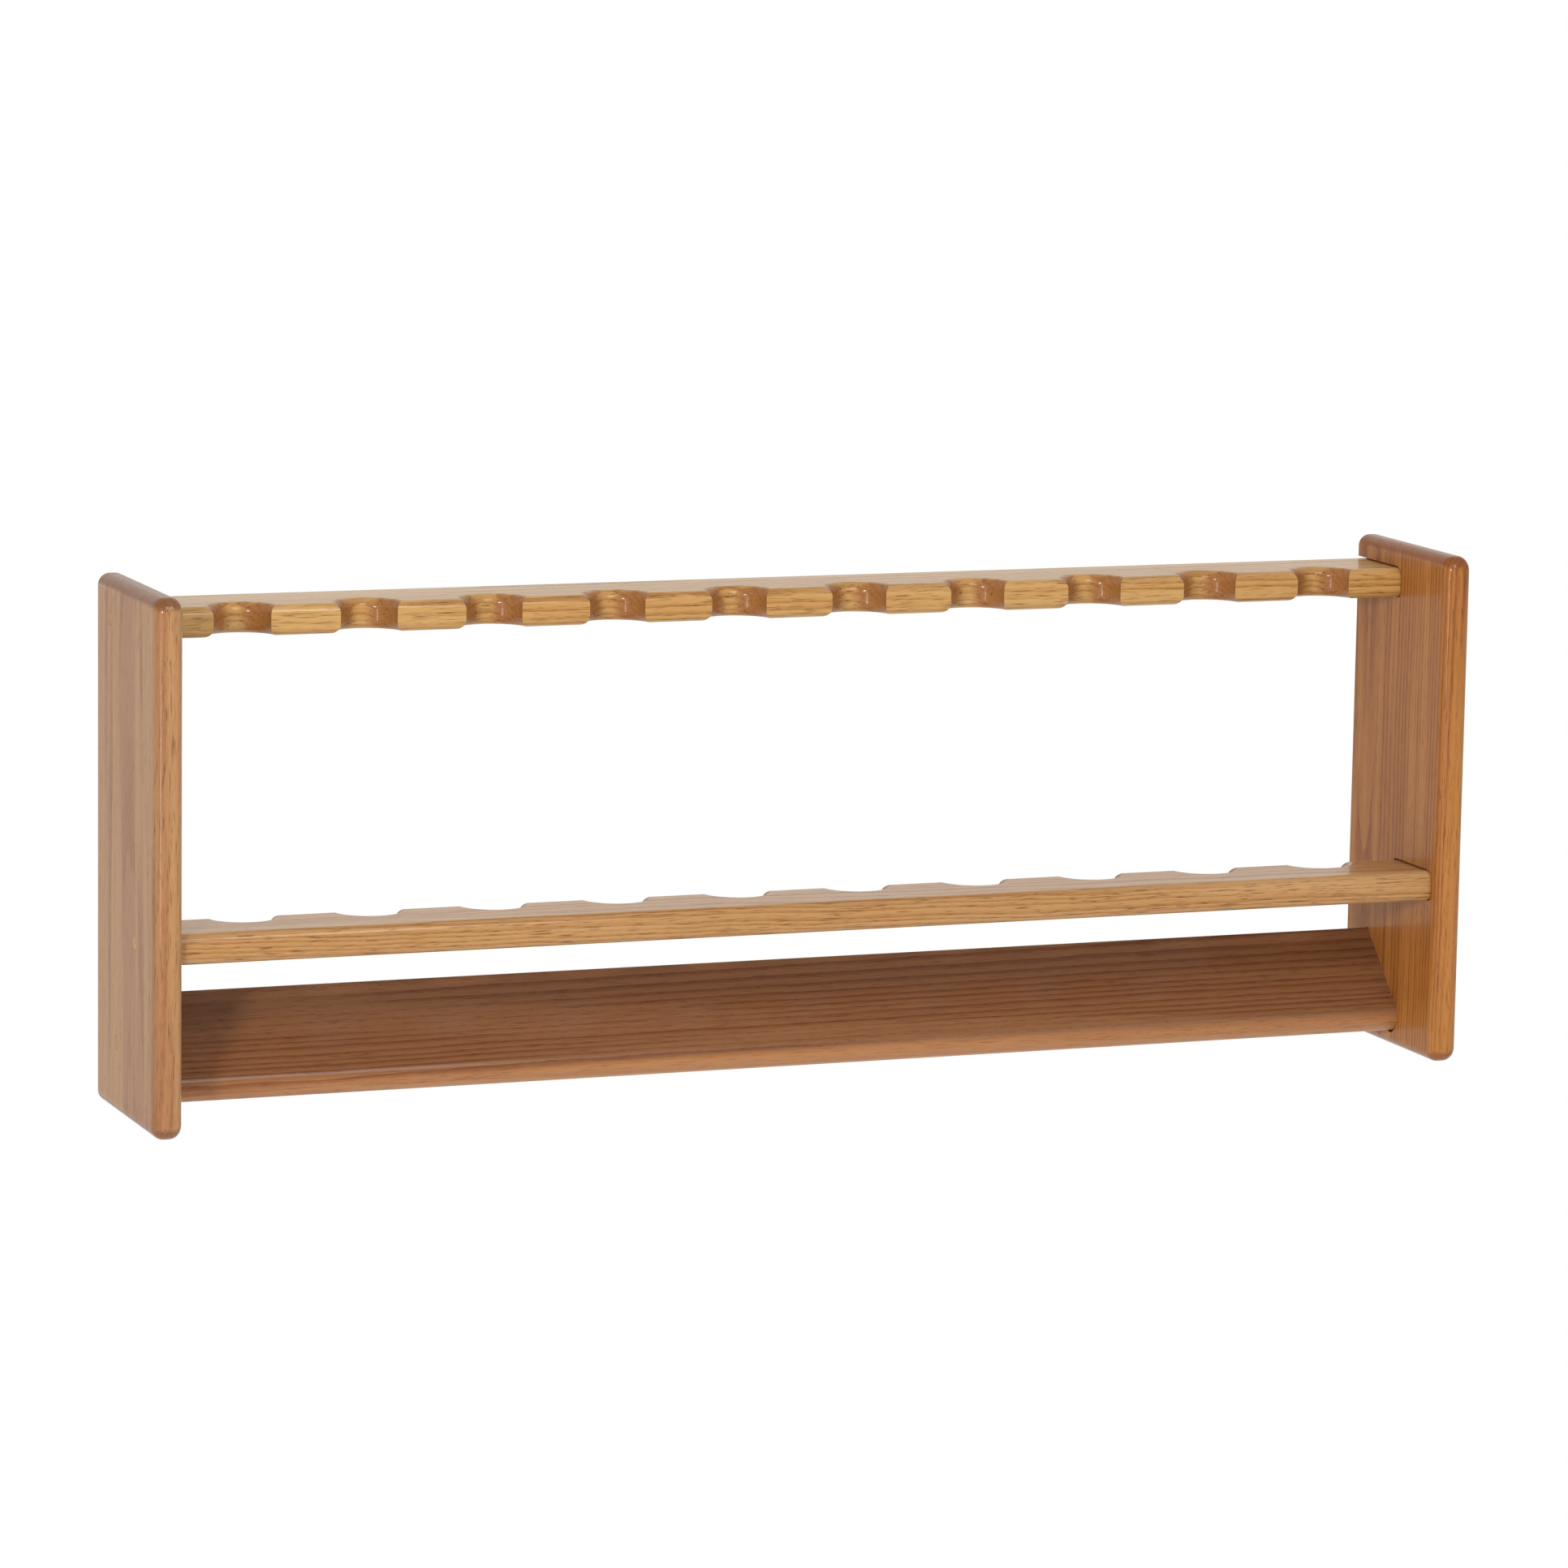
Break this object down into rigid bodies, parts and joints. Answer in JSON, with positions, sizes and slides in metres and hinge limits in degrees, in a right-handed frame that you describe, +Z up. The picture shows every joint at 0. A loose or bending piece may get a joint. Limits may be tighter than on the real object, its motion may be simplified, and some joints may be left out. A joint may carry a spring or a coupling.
{
  "type": "wall cue rack",
  "caption": "Oak wall rack for billiard cues: two side panels, a rear and a front notched rail and a sloping butt board, hung on keyhole plates.",
  "frame": {"origin": "centre of the rack's footprint, level with the bottom edges of the side panels", "axes": "+X along the rack to the right as seen from the front, +Y from the front back to the wall, +Z up"},
  "size_m": [0.9144, 0.1366, 0.3454],
  "materials": {
    "panel_oak": "red oak side panels, satin lacquer, vertical grain",
    "rail_oak": "red oak rails, satin lacquer, grain along the rail",
    "butt_oak": "darker red oak butt board, satin lacquer, grain along the board",
    "plug_oak": "face-grain oak plugs sanded flush and lacquered",
    "screw_steel": "zinc-plated steel wood screws",
    "hanger_steel": "zinc-plated steel keyhole plates"
  },
  "bodies": {
    "root": {"left_panel": "panel_oak", "right_panel": "panel_oak", "top_rail": "rail_oak", "middle_rail": "rail_oak", "butt_board": "butt_oak", "left_top_screw": "screw_steel", "left_top_plug": "plug_oak", "left_middle_screw": "screw_steel", "left_middle_plug": "plug_oak", "left_butt_screw": "screw_steel", "left_butt_plug": "plug_oak", "left_hanger": "hanger_steel", "left_hanger_upper_screw": "screw_steel", "left_hanger_lower_screw": "screw_steel", "right_top_screw": "screw_steel", "right_top_plug": "plug_oak", "right_middle_screw": "screw_steel", "right_middle_plug": "plug_oak", "right_butt_screw": "screw_steel", "right_butt_plug": "plug_oak", "right_hanger": "hanger_steel", "right_hanger_upper_screw": "screw_steel", "right_hanger_lower_screw": "screw_steel"}
  },
  "joints": []
}
